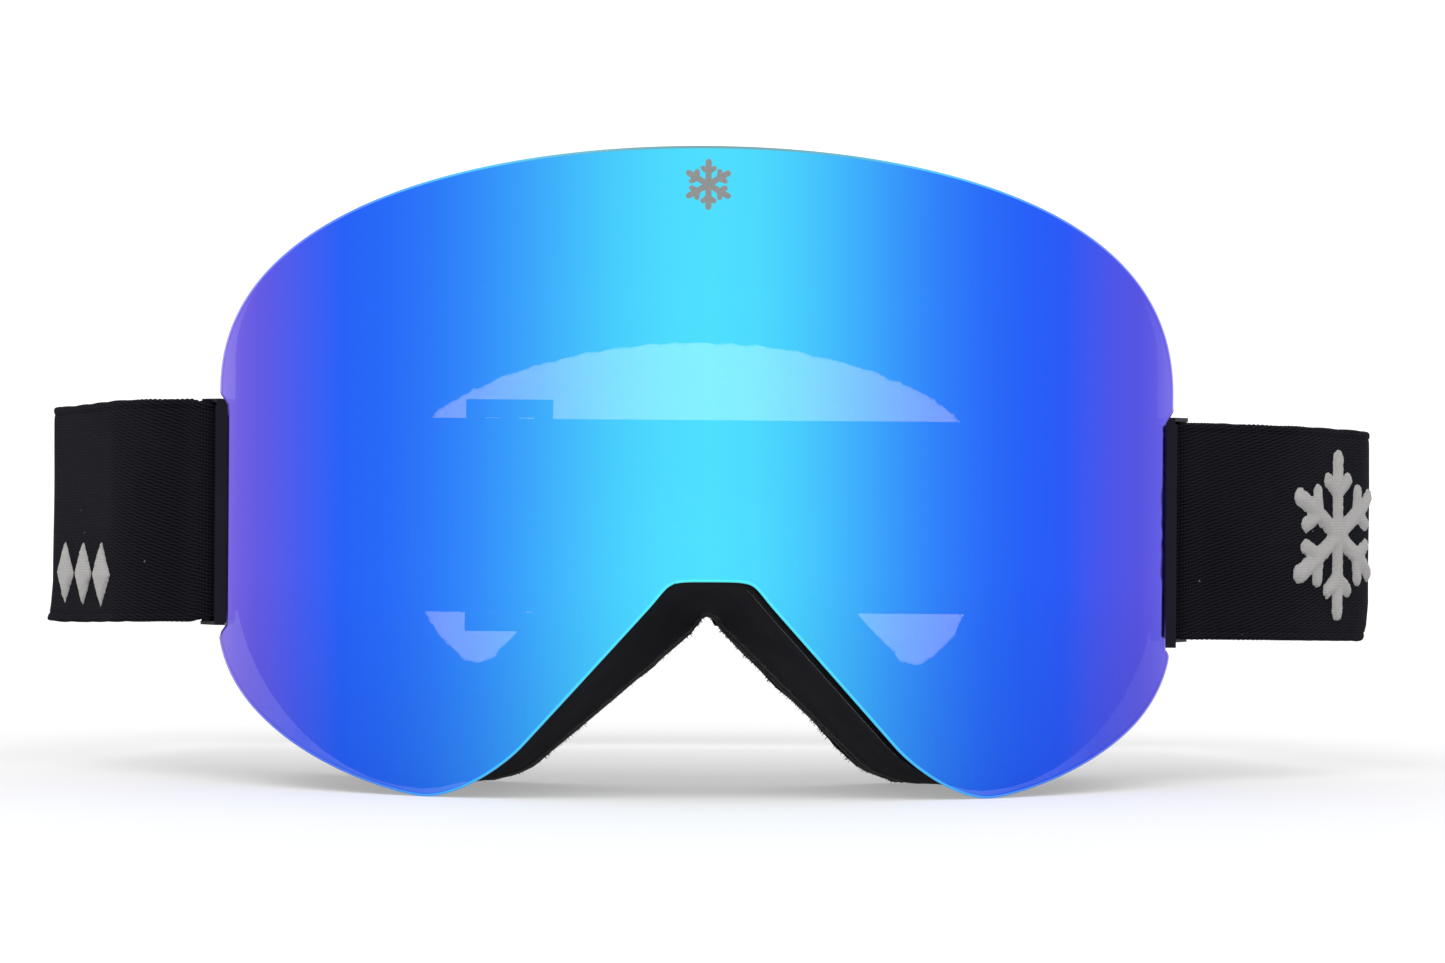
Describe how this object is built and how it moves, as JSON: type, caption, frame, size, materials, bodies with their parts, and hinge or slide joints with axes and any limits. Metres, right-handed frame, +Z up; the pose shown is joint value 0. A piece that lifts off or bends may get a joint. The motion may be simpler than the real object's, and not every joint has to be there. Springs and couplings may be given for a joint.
{
  "type": "ski goggles",
  "caption": "Frameless ski goggles with a mirrored cylindrical magnetic lens, vented skirt, layered face foam, hinged strap arms and an adjustable elastic strap.",
  "frame": {"origin": "on the surface that the goggles stand on, under the lens's plane of symmetry and halfway between the lens's front and the sliders", "axes": "+Z up, the lens faces -Y, +X to the right as seen from the front"},
  "size_m": [0.2535, 0.18, 0.1133],
  "materials": {
    "mirror_lens": "polycarbonate with a blue mirror coating, gloss",
    "inner_lens": "clear anti-fog acetate with a light grey tint",
    "frame_plastic": "black moulded nylon, satin",
    "skirt_rubber": "black soft polyurethane, satin",
    "foam": "dark open-cell foam",
    "fleece": "black brushed fleece",
    "magnet": "nickel plated, bright",
    "pin_steel": "bright steel",
    "elastic": "black woven elastic with grey embroidery"
  },
  "bodies": {
    "frame": {"front_bezel": "frame_plastic", "frame_magnets": "magnet", "skirt": "skirt_rubber", "top_vent_foam": "foam", "left_vent_foam": "foam", "right_vent_foam": "foam", "base_foam": "foam", "middle_foam": "foam", "fleece_liner": "fleece", "left_bracket": "frame_plastic", "right_bracket": "frame_plastic", "left_hinge_pin": "pin_steel", "right_hinge_pin": "pin_steel", "rear_strap": "elastic", "left_inner_strap": "elastic", "right_inner_strap": "elastic"},
    "lens": {"outer_lens": "mirror_lens", "lens_spacer": "foam", "inner_lens": "inner_lens", "lens_carrier": "frame_plastic", "lens_magnets": "magnet"},
    "left_arm": {"left_arm": "frame_plastic", "left_strap": "elastic"},
    "right_arm": {"right_arm": "frame_plastic", "right_strap": "elastic"},
    "left_slider": {"left_slider": "frame_plastic"},
    "right_slider": {"right_slider": "frame_plastic"}
  },
  "joints": [
    {"name": "lens_pull_off", "type": "slide", "parent": "frame", "child": "lens", "axis": [0, -1, 0], "range_m": [0, 0.08]},
    {"name": "left_arm_swing", "type": "hinge", "parent": "frame", "child": "left_arm", "pos_m": [-0.088, -0.0205, 0.0492], "axis": [0, 0, -1], "range_deg": [0, 40]},
    {"name": "right_arm_swing", "type": "hinge", "parent": "frame", "child": "right_arm", "pos_m": [0.088, -0.0205, 0.047], "axis": [0, 0, 1], "range_deg": [0, 40]},
    {"name": "left_slider_slide", "type": "slide", "parent": "frame", "child": "left_slider", "axis": [1, 0, 0], "range_m": [-0.045, 0.021]},
    {"name": "right_slider_slide", "type": "slide", "parent": "frame", "child": "right_slider", "axis": [1, 0, 0], "range_m": [-0.059, 0.008]}
  ]
}
